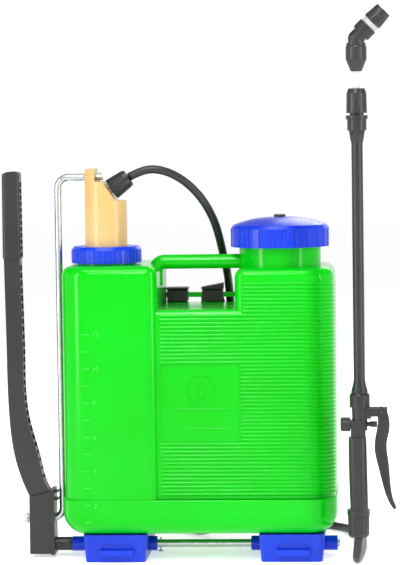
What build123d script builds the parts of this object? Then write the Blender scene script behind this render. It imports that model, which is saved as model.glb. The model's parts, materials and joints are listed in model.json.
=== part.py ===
from build123d import *
import math
import os

# Backpack sprayer. Millimetres, +Z up, origin on the ground under the middle of the sprayer.
# -Y is the front with the level marks, +Y is the side that the wearer's back rests on.

# ---- driving dimensions -------------------------------------------------------------------
WALL = 3.0                     # blow-moulded tank wall
TANK_BASE_Z, BAND_TOP_Z = 33.0, 76.0
SIDE_Y, PANEL_Y = 80.0, 74.0   # half depth of the pump column and of the ribbed body
COLUMN_X, TOWER_X = -46.0, 45.0
COLUMN_TOP, MIDDLE_TOP, TOWER_TOP = 352.0, 300.0, 348.0
RIB_PITCH, RIB_HEIGHT, RIB_WIDTH = 4.6, 1.2, 3.4

PUMP_X, PUMP_Y = -110.6, -15.0
CHAMBER_R, CHAMBER_BORE = 25.2, 19.0
CYLINDER_BORE = 26.4
CHAMBER_FOOT, EAR_TOP = 216.0, 466.0
FILL_X, FILL_Y = 97.0, -10.0

AXLE_Y, AXLE_Z, AXLE_R = -15.0, 15.0, 4.7
CRANK = 31.0                   # crank pin above the axle
ROD_LENGTH, ROD_R, ROD_X = 410.0, 4.25, -168.0
PIN_Z = AXLE_Z + CRANK
ROD_TOP_Z = PIN_Z + ROD_LENGTH

LANCE_Y, LANCE_X, GRIP_X = -100.0, 191.0, 188.5
HOSE_R = 5.0
GAP = 0.3                      # between pieces that move past each other

UP, RIGHT = (0, 0, 1), (1, 0, 0)


# ---- helpers ------------------------------------------------------------------------------
def outline(plane, *points):
    """A closed straight-sided face on a plane."""
    with BuildSketch(plane) as face:
        with BuildLine():
            Polyline(*points, close=True)
        make_face()
    return face.sketch


def turned_face(origin, direction, *points):
    """Half section of a turned piece: points are (distance along the axis, radius)."""
    return outline(Plane(origin, x_dir=direction, z_dir=(0, -1, 0)), *points)


def tube_face(origin, direction, start, end, outer, inner=0.0):
    """Half section of a plain tube, or of a rod when inner is 0."""
    return turned_face(origin, direction, (start, inner), (end, inner), (end, outer), (start, outer))


def corner_radii(points, limit=1e9):
    """For each inner corner, 0.45 of the shorter run over the tangent of half the turn."""
    radii = []
    for before, here, after in zip(points, points[1:], points[2:]):
        run_in, run_out = Vector(*here) - Vector(*before), Vector(*after) - Vector(*here)
        turn = math.radians(run_in.get_angle(run_out))
        radii.append(min(limit, 0.45 * min(run_in.length, run_out.length) / math.tan(turn / 2)))
    return radii


def vessel(inset, band):
    """Outer form of the bottle, drawn in by inset; band is how far the base stands proud."""
    half_x, base = 161.0 - inset, TANK_BASE_Z + inset
    with BuildPart() as form:
        with BuildSketch(Plane.XY.offset(base)):
            RectangleRounded(2 * (half_x + band), 2 * (SIDE_Y + band - inset), 33 - inset)
        extrude(amount=BAND_TOP_Z - base)
        fillet(form.faces().sort_by(Axis.Z)[0].edges(), 26 - inset)
        if band:
            fillet(form.faces().sort_by(Axis.Z)[-1].edges(), 1.5)
    with BuildPart() as column:
        left, right, depth = -half_x, COLUMN_X - inset, SIDE_Y - inset
        with BuildSketch(Plane.XY.offset(62)) as plan:
            with Locations(((left + right) / 2, 0)):
                Rectangle(right - left, 2 * depth)
            fillet(plan.vertices().group_by(Axis.X)[0], 33 - inset)
            fillet(plan.vertices().group_by(Axis.X)[-1], 13 - inset)
        extrude(amount=COLUMN_TOP - inset - 62)
        fillet(column.faces().sort_by(Axis.Z)[-1].edges(), 12 - inset)
    with BuildPart() as middle:
        with BuildSketch(Plane.XY.offset(62)) as plan:
            Rectangle(2 * (TOWER_X + 15), 2 * (PANEL_Y - inset))
        extrude(amount=MIDDLE_TOP - inset - 62)
        fillet(middle.faces().sort_by(Axis.Z)[-1].edges().filter_by(Axis.X), 7 - inset)
    with BuildPart() as tower:
        with BuildSketch(Plane.XY.offset(62)) as plan:
            with Locations(((half_x + TOWER_X + inset) / 2, 0)):
                Rectangle(half_x - TOWER_X - inset, 2 * (PANEL_Y - inset))
            fillet(plan.vertices().group_by(Axis.X)[-1], 33 - inset)
            fillet(plan.vertices().group_by(Axis.X)[0], 12 - inset)
        extrude(amount=TOWER_TOP - inset - 62)
        fillet(tower.faces().sort_by(Axis.Z)[-1].edges(), 11 - inset)
    return form.part + column.part + middle.part + tower.part


def rib_comb(start_x, low, high):
    """Upright section of a stack of horizontal ribs, set on the front face at start_x."""
    count = int((high - low) / RIB_PITCH)
    root = PANEL_Y - 1.0
    with BuildSketch(Plane((start_x, 0, 0), x_dir=(0, -1, 0), z_dir=(-1, 0, 0))) as comb:
        with BuildLine():
            for rib in range(count):
                foot = low + rib * RIB_PITCH
                side = foot + RIB_WIDTH
                ThreePointArc((PANEL_Y, foot), (PANEL_Y + RIB_HEIGHT, (foot + side) / 2), (PANEL_Y, side))
                if rib < count - 1:
                    Line((PANEL_Y, side), (PANEL_Y, foot + RIB_PITCH))
            Polyline((PANEL_Y, side), (root, side), (root, low), (PANEL_Y, low))
        make_face()
    return comb.sketch


def rib_path(start_x):
    """Run of the ribs: along the front, round the right-hand corner and along the side."""
    with BuildLine() as run:
        FilletPolyline((start_x, -PANEL_Y, 0), (161, -PANEL_Y, 0), (161, 37, 0), radius=33)
    return run.line


# ---- tank ---------------------------------------------------------------------------------
NECK_R, NECK_BORE, NECK_TOP = 48.5, 45.0, 386.0
PUMP_NECK_R, PUMP_NECK_BORE, PUMP_NECK_TOP = 36.0, 32.0, 363.0
HANDLE_R, HANDLE_Z, HANDLE_Y = 8.6, 353.5, -8.0
RAIL_Z, RAIL_Y = 309.0, 68.0
SCREW_X, SCREW_Y, SCREW_SEAT = (-100.0, 108.0), 40.0, 29.0

outer_form, inner_form = vessel(0, 2.0), vessel(WALL, 0)
with BuildPart() as tank:
    add(outer_form)
    sweep(rib_comb(COLUMN_X + 3, 80, 297), path=rib_path(COLUMN_X + 3))
    sweep(rib_comb(TOWER_X + 10, 80 + 47 * RIB_PITCH, 336), path=rib_path(TOWER_X + 10))
    with Locations((PUMP_X, PUMP_Y, 340)):
        Cylinder(PUMP_NECK_R, PUMP_NECK_TOP - 340, align=(Align.CENTER, Align.CENTER, Align.MIN))
    with Locations((FILL_X, FILL_Y, 335)):
        Cylinder(NECK_R, NECK_TOP - 335, align=(Align.CENTER, Align.CENTER, Align.MIN))
    with BuildLine():
        FilletPolyline((-52.5, HANDLE_Y, 325), (-52.5, HANDLE_Y, HANDLE_Z), (54, HANDLE_Y, HANDLE_Z), radius=11)
    with BuildSketch(Plane((-52.5, HANDLE_Y, 325))):
        Circle(HANDLE_R)
    sweep()
    with Locations((0, RAIL_Y, RAIL_Z)):
        Box(100, 6.5, 6)
    with Locations((0, RAIL_Y, 302)):
        Box(7, 6.5, 14)
    add(inner_form, mode=Mode.SUBTRACT)
    with Locations((PUMP_X, PUMP_Y, 350)):
        Cylinder(PUMP_NECK_BORE, 60, mode=Mode.SUBTRACT)
    with Locations((FILL_X, FILL_Y, 360)):
        Cylinder(NECK_BORE, 80, mode=Mode.SUBTRACT)
    # recessed plain panel on the front
    with BuildSketch(Plane((4, -PANEL_Y - 3, 190), x_dir=RIGHT, z_dir=(0, 1, 0))):
        RectangleRounded(95, 94, 5)
    extrude(amount=4.2, mode=Mode.SUBTRACT)
    # screw posts under the base, two over each foot
    with Locations([(x, y, TANK_BASE_Z + 4) for x in SCREW_X for y in (-SCREW_Y, SCREW_Y)]):
        Cylinder(6, 8)
        Cylinder(1.8, 30, mode=Mode.SUBTRACT)


# ---- feet, with the bores that the axle turns in -------------------------------------------
FOOT_HALF_Y = 68.0
EYE_X = (-101.0, 86.0)          # strap eyes behind the feet


def foot(left, right, boss_left, boss_right, screw_x, eye_x):
    """A foot moulding: open box with cross walls, axle bosses at both ends and a front loop."""
    middle, width = (left + right) / 2, right - left
    with BuildPart() as block:
        with BuildSketch(Plane((middle, 0, 0))):
            RectangleRounded(width - 5, 2 * FOOT_HALF_Y - 5, 5)
        with BuildSketch(Plane((middle, 0, TANK_BASE_Z))):
            RectangleRounded(width, 2 * FOOT_HALF_Y, 5)
        loft()
        with BuildSketch(Plane((middle, 0, 0))):
            with GridLocations(width / 2 - 3.5, 32, 2, 4):
                RectangleRounded(width / 2 - 7, 28, 2)
        extrude(amount=TANK_BASE_Z - 4, mode=Mode.SUBTRACT)
        revolve(tube_face((0, AXLE_Y, AXLE_Z), RIGHT, boss_left, boss_right, 8.8),
                axis=Axis((0, AXLE_Y, AXLE_Z), RIGHT))
        revolve(tube_face((0, AXLE_Y, AXLE_Z), RIGHT, boss_left - 1, boss_right + 1, AXLE_R + 0.05),
                axis=Axis((0, AXLE_Y, AXLE_Z), RIGHT), mode=Mode.SUBTRACT)
        # raised loop at the front, open behind
        with Locations((middle + 2, -FOOT_HALF_Y - 2, 12)):
            Box(40, 8, 7)
            Box(33, 4, 20, align=(Align.CENTER, Align.MIN, Align.CENTER), mode=Mode.SUBTRACT)
        # eye for the strap at the back
        with Locations((eye_x, FOOT_HALF_Y + 5, 24)):
            Box(30, 14, 5)
            Box(22, 7, 6, mode=Mode.SUBTRACT)
        # clearance holes for the two screws into the tank
        with Locations((screw_x, -SCREW_Y, SCREW_SEAT), (screw_x, SCREW_Y, SCREW_SEAT)):
            Cylinder(5, 60, align=(Align.CENTER, Align.CENTER, Align.MAX), mode=Mode.SUBTRACT)
            Cylinder(2.4, 60, mode=Mode.SUBTRACT)
    return block


left_foot = foot(-138.5, -62.5, -156.5, -54.5, SCREW_X[0], EYE_X[0])
right_foot = foot(70, 147.5, 58.7, 162.0, SCREW_X[1], EYE_X[1])

with BuildPart() as foot_screws:
    for x in SCREW_X:
        for y in (-SCREW_Y, SCREW_Y):
            revolve(turned_face((x, y, SCREW_SEAT), UP, (-4, 0), (15, 0), (15, 1.7), (0, 1.7), (0, 4), (-4, 4)),
                    axis=Axis((x, y, 0), UP))


# ---- pump: collar, cylinder and valves -------------------------------------------------------
pump_axis, pump_foot = Axis((PUMP_X, PUMP_Y, 0), UP), (PUMP_X, PUMP_Y, 0)

with BuildPart() as pump_collar:
    revolve(turned_face(pump_foot, UP, (354, 36.5), (354, 42), (369.5, 42), (373.5, 39), (373.5, 26.0),
                        (370.5, 26.0), (370.5, 36.5)), axis=pump_axis)
    with BuildSketch(Plane((PUMP_X, PUMP_Y, 353))):
        with PolarLocations(43.0, 48):
            Circle(1.7)
    extrude(amount=16, mode=Mode.SUBTRACT)

with BuildPart() as pump_gasket:
    revolve(tube_face(pump_foot, UP, 363, 364.5, 36, 32), axis=pump_axis)

with BuildPart() as pump_cylinder:
    revolve(turned_face(pump_foot, UP, (132, 0), (132, 29), (364.5, 29), (364.5, 36), (367, 36), (367, CYLINDER_BORE),
                        (136, CYLINDER_BORE), (136, 0)), axis=pump_axis)
    with Locations((PUMP_X, PUMP_Y, 132)):
        Cylinder(7, 20, mode=Mode.SUBTRACT)

with BuildPart() as pump_guide_bush:
    revolve(tube_face(pump_foot, UP, 367, 370.5, 36, CHAMBER_R + 0.08), axis=pump_axis)

with BuildPart() as suction_valve:
    revolve(turned_face(pump_foot, UP, (118, 11), (132, 11), (132, 7), (140, 7), (140, 3.2), (118, 3.2)),
            axis=pump_axis)
    with Locations((PUMP_X, PUMP_Y, 138)):
        Cone(3.2, 7.0, 4, mode=Mode.SUBTRACT)

BALL_R = 5.0
with BuildPart() as suction_ball:
    with Locations((PUMP_X, PUMP_Y, 143.2)):
        Sphere(BALL_R)

with BuildPart() as suction_filter:
    revolve(turned_face(pump_foot, UP, (44, 0), (44, 13), (118, 13), (118, 9), (48, 9), (48, 0)), axis=pump_axis)
    for level in (58, 74, 90, 106):
        with Locations((PUMP_X, PUMP_Y, level)):
            with PolarLocations(11, 8):
                Box(8, 3, 10, mode=Mode.SUBTRACT)

with BuildPart() as pressure_chamber:
    revolve(turned_face(pump_foot, UP, (CHAMBER_FOOT, 8), (CHAMBER_FOOT, 24), (CHAMBER_FOOT + 6, CHAMBER_R),
                        (EAR_TOP, CHAMBER_R), (EAR_TOP, 0), (412, 0), (404, CHAMBER_BORE),
                        (CHAMBER_FOOT + 6, CHAMBER_BORE), (CHAMBER_FOOT + 6, 8)), axis=pump_axis)
    # ear for the link rod, notch, sloping face for the outlet and flat step
    extrude(outline(Plane.XZ, (-122, 480), (-122, 450.6), (-112.5, 450.6), (-97, 428),
                    (-60, 428), (-60, 480)), amount=60, both=True, mode=Mode.SUBTRACT)
    # rounded back edge of the ear
    with BuildSketch(Plane.XZ) as ear_corner:
        with Locations((PUMP_X - CHAMBER_R + 4, EAR_TOP - 4)):
            Rectangle(4, 4, align=(Align.MAX, Align.MIN))
            Circle(4, mode=Mode.SUBTRACT)
    extrude(amount=60, both=True, mode=Mode.SUBTRACT)
    # outlet passage out of the sloping face
    revolve(tube_face((-104.0, PUMP_Y, 440.5), (0.824, 0, 0.566), -20, 3, 4.2),
            axis=Axis((-104.0, PUMP_Y, 440.5), (0.824, 0, 0.566)), mode=Mode.SUBTRACT)
    with Locations((PUMP_X, PUMP_Y, 425)):
        Cylinder(4.2, 46, mode=Mode.SUBTRACT)

OUTLET, OUTLET_AXIS = (-104.0, PUMP_Y, 440.5), (0.824, 0, 0.566)
with BuildPart() as hose_tail:
    revolve(turned_face(OUTLET, OUTLET_AXIS, (-9, 2.4), (-9, 4.2), (1.2, 4.2), (1.2, 7), (4, 7), (4, 4.2),
                        (21, 4.0), (21, 2.4)), axis=Axis(OUTLET, OUTLET_AXIS))

with BuildPart() as pump_hose_nut:
    revolve(turned_face(OUTLET, OUTLET_AXIS, (1.2, 8.5), (1.2, 13), (22, 11.4), (26, 10), (26, 5.4), (21, 5.4),
                        (21, 8.5)), axis=Axis(OUTLET, OUTLET_AXIS))
    with BuildSketch(Plane(OUTLET, z_dir=OUTLET_AXIS)):
        with PolarLocations(13.3, 16):
            Circle(1.5)
    extrude(amount=21, mode=Mode.SUBTRACT)

with BuildPart() as piston_seal:
    revolve(turned_face(pump_foot, UP, (206, 8), (206, 26.3), (214, 26.3), (214, 24.6), (212, 22), (212, 8)),
            axis=pump_axis)

with BuildPart() as piston_retainer:
    revolve(turned_face(pump_foot, UP, (200, 4), (200, 18), (206, 18), (206, 7.9), (219, 7.9), (219, 4)),
            axis=pump_axis)

with BuildPart() as delivery_valve:
    revolve(turned_face(pump_foot, UP, (222, 3.5), (222, 18.8), (226, 18.8), (226, 9), (238, 9), (238, 7),
                        (228, 7), (226, 3.5)), axis=pump_axis)

with BuildPart() as delivery_ball:
    with Locations((PUMP_X, PUMP_Y, 231.2)):
        Sphere(BALL_R)


# ---- lever, its bracket, axle and link rod --------------------------------------------------
LEVER_HALF, BRACKET_HALF = 11.0, 15.0

with BuildPart() as pump_lever:
    with BuildSketch(Plane((0, AXLE_Y, 0), x_dir=RIGHT, z_dir=(0, -1, 0))):
        with BuildLine():
            Line((-231, 448), (-233, 359))
            Line((-233, 359), (-231.5, 250))
            Spline((-231.5, 250), (-229.4, 165), (-222.5, 116), (-207, 74), tangents=((0, -1), (0.5, -1)))
            Line((-207, 74), (-182, 79.2))
            Spline((-182, 79.2), (-194.5, 116), (-207.4, 165), (-211.8, 250), tangents=((-0.8, 1), (0, 1)))
            Line((-211.8, 250), (-214, 359))
            Line((-214, 359), (-216, 448))
            Line((-216, 448), (-231, 448))
        make_face()
    extrude(amount=LEVER_HALF, both=True)
    # pockets between the cross ribs, open towards the tank
    for level in range(28):
        height = 100 + level * 9.2
        bend = max(0.0, (165 - height) / 65)
        with Locations(Location((-209.5 + 12.5 * bend ** 1.6, AXLE_Y, height), (0, 38 * bend, 0))):
            Box(16, 2 * LEVER_HALF - 6, 6.6, mode=Mode.SUBTRACT)
    for level in range(11):
        with Locations((-211, AXLE_Y, 364.5 + level * 7.6)):
            Box(16, 2 * LEVER_HALF - 6, 5.4, mode=Mode.SUBTRACT)

with BuildPart() as lever_grip:
    with BuildSketch(Plane((0, AXLE_Y, 0), x_dir=RIGHT, z_dir=(0, -1, 0))):
        with BuildLine():
            Polyline((-234.5, 360), (-234.0, 470), (-213.0, 470), (-212.4, 360), close=True)
        make_face()
    extrude(amount=13.5, both=True)
    fillet(lever_grip.edges().filter_by(lambda edge: edge.length > 95), 4.5)
    extrude(outline(Plane((0, AXLE_Y, 0), x_dir=RIGHT, z_dir=(0, -1, 0)), (-233, 359), (-231, 448),
                    (-216, 448), (-214, 359)), amount=LEVER_HALF, both=True, mode=Mode.SUBTRACT)
    # domed end
    extrude(outline(Plane((0, AXLE_Y, 0), x_dir=RIGHT, z_dir=(0, -1, 0)), (-240, 456.5), (-234, 460.0), (-231, 462.4),
                    (-227, 463.6), (-222, 464), (-217, 463.6), (-214, 462.4), (-208, 458.0), (-208, 480), (-240, 480)),
            amount=20, both=True, mode=Mode.SUBTRACT)
    # the cross ribs of the lever show through windows on the tank side
    for level in range(12):
        with Locations((-212, AXLE_Y, 364.5 + level * 7.6)):
            Box(5, 16, 5.4, mode=Mode.SUBTRACT)

with BuildPart() as lever_bracket:
    extrude(outline(Plane((0, AXLE_Y, 0), x_dir=RIGHT, z_dir=(0, -1, 0)), (-207, 4.5), (-181, 4.5),
                    (-181, 79.4), (-207, 74)), amount=BRACKET_HALF, both=True)
    with Locations((-179.2, AXLE_Y, 43)):
        Box(4.6, 2 * BRACKET_HALF + 2, 79)
    # two prongs that the rod rests against when the lever is folded up
    with Locations((-174.9, AXLE_Y, 79), (-174.9, AXLE_Y, 70)):
        Box(4.0, 12, 2.6)
    revolve(tube_face((0, AXLE_Y, PIN_Z), RIGHT, -210, -170, ROD_R + 0.05),
            axis=Axis((0, AXLE_Y, PIN_Z), RIGHT), mode=Mode.SUBTRACT)
    revolve(tube_face((0, AXLE_Y, PIN_Z), RIGHT, -182, -170, ROD_R + 1.2),
            axis=Axis((0, AXLE_Y, PIN_Z), RIGHT), mode=Mode.SUBTRACT)
    with Locations((-198, AXLE_Y, AXLE_Z)):
        Box(46, 9.6, 9.6, mode=Mode.SUBTRACT)

with BuildPart() as axle_socket:
    revolve(tube_face((0, AXLE_Y, AXLE_Z), RIGHT, -176.9, -157, 8.2, AXLE_R),
            axis=Axis((0, AXLE_Y, AXLE_Z), RIGHT))

with BuildPart() as lever_axle:
    revolve(tube_face((0, AXLE_Y, AXLE_Z), RIGHT, -176.9, 165, AXLE_R, 3.2),
            axis=Axis((0, AXLE_Y, AXLE_Z), RIGHT))
    with Locations((-191, AXLE_Y, AXLE_Z)):
        Box(28.2, 9.4, 9.4)
    with Locations((-50.5, AXLE_Y, AXLE_Z)):
        Cylinder(1.3, 20, mode=Mode.SUBTRACT)

with BuildPart() as axle_split_pin:
    with Locations((-50.5, AXLE_Y, AXLE_Z)):
        Cylinder(1.25, 15)
    with Locations((-50.5, AXLE_Y, AXLE_Z - 9.0)):
        Torus(2.2, 0.9)

with BuildPart() as link_rod:
    with BuildLine() as rod_line:
        FilletPolyline((-209.5, AXLE_Y, PIN_Z), (ROD_X, AXLE_Y, PIN_Z), (ROD_X, AXLE_Y, ROD_TOP_Z),
                       (-136.6, AXLE_Y, ROD_TOP_Z), radius=13)
    with BuildSketch(Plane((-209.5, AXLE_Y, PIN_Z), z_dir=RIGHT)):
        Circle(ROD_R)
    sweep(path=rod_line.line)

with BuildPart() as rod_bottom_clip:
    revolve(tube_face((0, AXLE_Y, PIN_Z), RIGHT, -211.6, -209.9, 6.5),
            axis=Axis((0, AXLE_Y, PIN_Z), RIGHT))
    with Locations((-213.2, AXLE_Y, PIN_Z)):
        Box(3.4, 2.4, 11)

with BuildPart() as rod_top_clip:
    revolve(tube_face((0, PUMP_Y, ROD_TOP_Z), RIGHT, -122, -113.5, ROD_R - 0.4),
            axis=Axis((0, PUMP_Y, ROD_TOP_Z), RIGHT))
    revolve(tube_face((0, PUMP_Y, ROD_TOP_Z), RIGHT, -119, -117.4, 5.0),
            axis=Axis((0, PUMP_Y, ROD_TOP_Z), RIGHT))
    with Locations((-115.6, PUMP_Y, ROD_TOP_Z + 1)):
        Cylinder(0.8, 9.8)


# ---- filler: lid, gasket, vent and strainer --------------------------------------------------
fill_axis, fill_foot = Axis((FILL_X, FILL_Y, 0), UP), (FILL_X, FILL_Y, 0)

with BuildPart() as filler_lid:
    with BuildSketch(Plane(fill_foot, x_dir=RIGHT, z_dir=(0, -1, 0))):
        with BuildLine():
            Polyline((49.4, 371), (58.6, 371), (58.6, 393), (55.5, 397))
            ThreePointArc((55.5, 397), (30, 404.2), (5, 406))
            Polyline((5, 406), (5, 402), (20, 400.5), (48.5, 391.5), (49.4, 391.5), (49.4, 371))
        make_face()
    revolve(axis=fill_axis)
    with BuildSketch(Plane((FILL_X, FILL_Y, 370))):
        with PolarLocations(59.4, 26):
            Circle(2.6)
    extrude(amount=22, mode=Mode.SUBTRACT)

with BuildPart() as lid_gasket:
    revolve(tube_face(fill_foot, UP, 388.3, 390.8, 48.3, 44.0), axis=fill_axis)

with BuildPart() as lid_vent_valve:
    revolve(turned_face(fill_foot, UP, (399.4, 0), (399.4, 6.5), (401.2, 6.5), (401.2, 4.8), (406.6, 4.8), (406.6, 7.5),
                        (409.0, 6.5), (409.5, 0)), axis=fill_axis)

with BuildPart() as filler_strainer:
    revolve(turned_face(fill_foot, UP, (386, 48.3), (388, 48.3), (388, 42.2), (326, 37.4), (326, 0), (324, 0),
                        (324, 39.4), (386, 44.2)), axis=fill_axis)
    for level in (335, 349, 363, 377):
        with Locations((FILL_X, FILL_Y, level)):
            with PolarLocations(41, 20):
                Box(14, 6, 9, mode=Mode.SUBTRACT)
    with Locations((FILL_X, FILL_Y, 325)):
        with GridLocations(12, 12, 5, 5):
            Cylinder(3.2, 10, mode=Mode.SUBTRACT)


# ---- shoulder straps ----------------------------------------------------------------------------
STRAP_WIDTH, STRAP_THICK = 25.0, 2.4
STRAP_X, STRAP_LEAN = (-32.5, 10.5), (-15.0, 16.5)


def strap_hook(x, slope):
    """A black hook snapped over the rail, with a tongue that the strap hangs from."""
    with BuildPart() as hook:
        side = Plane((x, 0, 0), x_dir=(0, 1, 0), z_dir=RIGHT)
        extrude(outline(side, (62, 301.2), (62, 314), (64, 316), (84, 316), (86, 313), (86, 301.2), (82.4, 301.2),
                        (82.4, 310.5), (75.4, 310.5), (75.4, 301.2), (72.7, 301.2), (72.7, 312.8), (64.2, 312.8), (64.2, 301.2)),
                amount=12.5, both=True)
        front = Plane((x, 61, 0), x_dir=RIGHT, z_dir=(0, 1, 0))
        extrude(outline(front, (-13.5, -315.8), (13.5, -315.8), (13.5, -318 - slope), (-13.5, -318)), amount=22)
    return hook


strap_hook_left, strap_hook_right = strap_hook(STRAP_X[0], 0.0), strap_hook(STRAP_X[1], 5.0)


def strap(x, lean):
    """Webbing that hangs from a hook and bows out behind the tank to the eye on the foot."""
    slope = math.radians(lean)
    face = Plane((x, 0, 305), x_dir=(0, 1, 0), z_dir=(math.cos(slope), 0, math.sin(slope)))
    line = [(77.8, 3.5), (79.5, -9), (92, -31), (106, -80), (111, -140), (107, -195), (98, -240), (93.2, -262),
            (93.0, -274)]
    with BuildPart() as webbing:
        with BuildSketch(face):
            with BuildLine():
                Spline(*line)
                Spline(*[(y + STRAP_THICK, z) for y, z in line])
                Line((line[0][0], line[0][1]), (line[0][0] + STRAP_THICK, line[0][1]))
                Line((line[-1][0], line[-1][1]), (line[-1][0] + STRAP_THICK, line[-1][1]))
            make_face()
        extrude(amount=STRAP_WIDTH / 2, both=True)
    return webbing


left_shoulder_strap = strap(STRAP_X[0], STRAP_LEAN[0])
right_shoulder_strap = strap(STRAP_X[1], STRAP_LEAN[1])


# ladder buckles at the straps' lower ends, each with a hook through the eye on its foot
with BuildPart() as strap_buckles:
    for x in EYE_X:
        with Locations((x, 90.5, 40)):
            Box(32, 4, 26)
        with Locations((x, 90.5, 34), (x, 90.5, 45)):
            Box(26, 6, 5, mode=Mode.SUBTRACT)
        extrude(outline(Plane((x, 0, 0), x_dir=(0, 1, 0), z_dir=RIGHT), (88.5, 27), (92.5, 27), (92.5, 14), (71.5, 14),
                        (71.5, 30), (74.5, 30), (74.5, 17), (88.5, 17)), amount=9, both=True)


# ---- hose -----------------------------------------------------------------------------------------
hose_upper_points = [
    (-82.0, -15.0, 455.6), (-67, -14.5, 463.2), (-50.0, -13.5, 465.0), (-30, -11, 459), (-10, -6.0, 445),
    (7, 2, 424), (18.5, 14, 399), (24, 28, 373), (27, 43, 353), (29, 58, 339), (30, 72, 326), (31, 80, 309),
    (32, 82.5, 288), (32.3, 82, 262), (32.2, 81, 232), (32, 80.5, 202),
]
hose_lower_points = [
    (32, 80.5, 202), (31.8, 80, 172), (32.2, 82, 138), (32.4, 86.5, 104), (31, 93.5, 72), (26, 103, 41),
    (13, 119, 16), (-8, 137, 5.6), (-29, 159, 5.2), (-34, 188, 5.2), (-18, 213, 5.2), (12, 225, 5.2),
    (47, 227, 5.2), (83, 221, 5.2), (117, 210, 5.2), (148, 192, 5.2), (171, 165, 5.2), (184, 130, 5.2),
    (190, 92, 5.2), (192, 50, 5.2), (191.5, 6, 5.2), (190, -34, 5.2), (187.5, -66, 5.2),
    (185.5, -86, 6.0), (185.8, -97.0, 13.0), (187.5, -100.0, 24.0), (188.5, -100.0, 35.0),
]


def hose(points):
    """A hose as straight runs joined by tangent arcs."""
    radii = corner_radii(points)
    print("hose radii", [round(radius) for radius in radii])
    with BuildPart() as pipe:
        with BuildLine() as line:
            FilletPolyline(*points, radius=radii)
        with BuildSketch(Plane(origin=line.wire() @ 0, z_dir=line.wire() % 0)):
            Circle(HOSE_R)
        sweep(path=line.wire())
    length = line.wire().length
    expected = math.pi * HOSE_R ** 2 * length
    print("hose length", round(length), "volume ratio", round(pipe.part.volume / expected, 4))
    return pipe


hose_upper, hose_lower = hose(hose_upper_points), hose(hose_lower_points)


# ---- lance: handle, trigger and valve ------------------------------------------------------------
grip_axis, grip_foot = Axis((GRIP_X, LANCE_Y, 0), UP), (GRIP_X, LANCE_Y, 0)
lance_axis, lance_foot = Axis((LANCE_X, LANCE_Y, 0), UP), (LANCE_X, LANCE_Y, 0)
VALVE_Z = 167.0
TRIGGER_PIN_X, TRIGGER_PIN_Z = 216.0, 181.5

with BuildPart() as lance_hose_nut:
    revolve(turned_face(grip_foot, UP, (35, 5.4), (35, 10.5), (38, 12.2), (61, 12.6), (61, 8.5), (40, 8.5), (40, 5.4)),
            axis=grip_axis)
    with BuildSketch(Plane((GRIP_X, LANCE_Y, 39))):
        with PolarLocations(13.2, 16):
            Circle(1.5)
    extrude(amount=22, mode=Mode.SUBTRACT)

with BuildPart() as handle_tail:
    revolve(turned_face(grip_foot, UP, (40, 2.4), (40, 4.2), (57, 4.4), (57, 7.5), (61, 7.5), (61, 4.2), (76, 4.2),
                        (76, 2.4)), axis=grip_axis)

with BuildPart() as handle_grip:
    with BuildSketch(Plane((GRIP_X + 1, LANCE_Y, 67))):
        RectangleRounded(20.6, 25, 8)
    with BuildSketch(Plane((GRIP_X, LANCE_Y, 110))):
        RectangleRounded(21.2, 28, 8.5)
    with BuildSketch(Plane((GRIP_X - 0.5, LANCE_Y, 152))):
        RectangleRounded(20.6, 25, 8)
    loft()
    revolve(tube_face(grip_foot, UP, 61, 67.5, 13.2), axis=grip_axis)
    # valve body above the grip, neck and thread for the lance
    with Locations((GRIP_X + 0.5, LANCE_Y, 161)):
        Box(17, 20, 22)
    revolve(turned_face(lance_foot, UP, (160, 0), (160, 8.6), (187, 9.2), (187, 6.6), (198, 6.6), (198, 0)),
            axis=lance_axis)
    # ears for the trigger pin
    with Locations((209, LANCE_Y - 6.5, TRIGGER_PIN_Z), (209, LANCE_Y + 6.5, TRIGGER_PIN_Z)):
        Box(28, 3, 10)
    with Locations((200, LANCE_Y, 178)):
        Box(8, 16, 8)
    # liquid way: up the grip, across the valve and out of the neck
    revolve(tube_face(grip_foot, UP, 60, 76, 4.4), axis=grip_axis, mode=Mode.SUBTRACT)
    revolve(tube_face(grip_foot, UP, 76, 150, 7.0), axis=grip_axis, mode=Mode.SUBTRACT)
    revolve(tube_face(grip_foot, UP, 150, 161, 2.6), axis=grip_axis, mode=Mode.SUBTRACT)
    revolve(tube_face((0, LANCE_Y, VALVE_Z), RIGHT, 178, 190, 5.6), axis=Axis((0, LANCE_Y, VALVE_Z), RIGHT),
            mode=Mode.SUBTRACT)
    revolve(tube_face((0, LANCE_Y, VALVE_Z), RIGHT, 189, 215, 2.75), axis=Axis((0, LANCE_Y, VALVE_Z), RIGHT),
            mode=Mode.SUBTRACT)
    revolve(tube_face(lance_foot, UP, VALVE_Z, 200, 2.6), axis=lance_axis, mode=Mode.SUBTRACT)
    with Locations(Location((TRIGGER_PIN_X, LANCE_Y, TRIGGER_PIN_Z), (90, 0, 0))):
        Cylinder(1.55, 30, mode=Mode.SUBTRACT)

with BuildPart() as handle_filter:
    revolve(turned_face(grip_foot, UP, (78, 3.2), (78, 6.8), (82, 6.8), (82, 4.4), (146, 4.4), (146, 2.4), (82, 2.4)),
            axis=grip_axis)

valve_axis, valve_foot = Axis((0, LANCE_Y, VALVE_Z), RIGHT), (0, LANCE_Y, VALVE_Z)
with BuildPart() as valve_cap:
    revolve(turned_face(valve_foot, RIGHT, (168.5, 0), (168.5, 6.8), (170, 8.2), (179.8, 8.2), (179.8, 5.5), (181.5, 5.5),
                        (181.5, 3.2), (176, 3.2), (176, 0)), axis=valve_axis)
    with BuildSketch(Plane(valve_foot, z_dir=RIGHT).offset(170)):
        with PolarLocations(8.7, 14):
            Circle(1.0)
    extrude(amount=9.8, mode=Mode.SUBTRACT)

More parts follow.
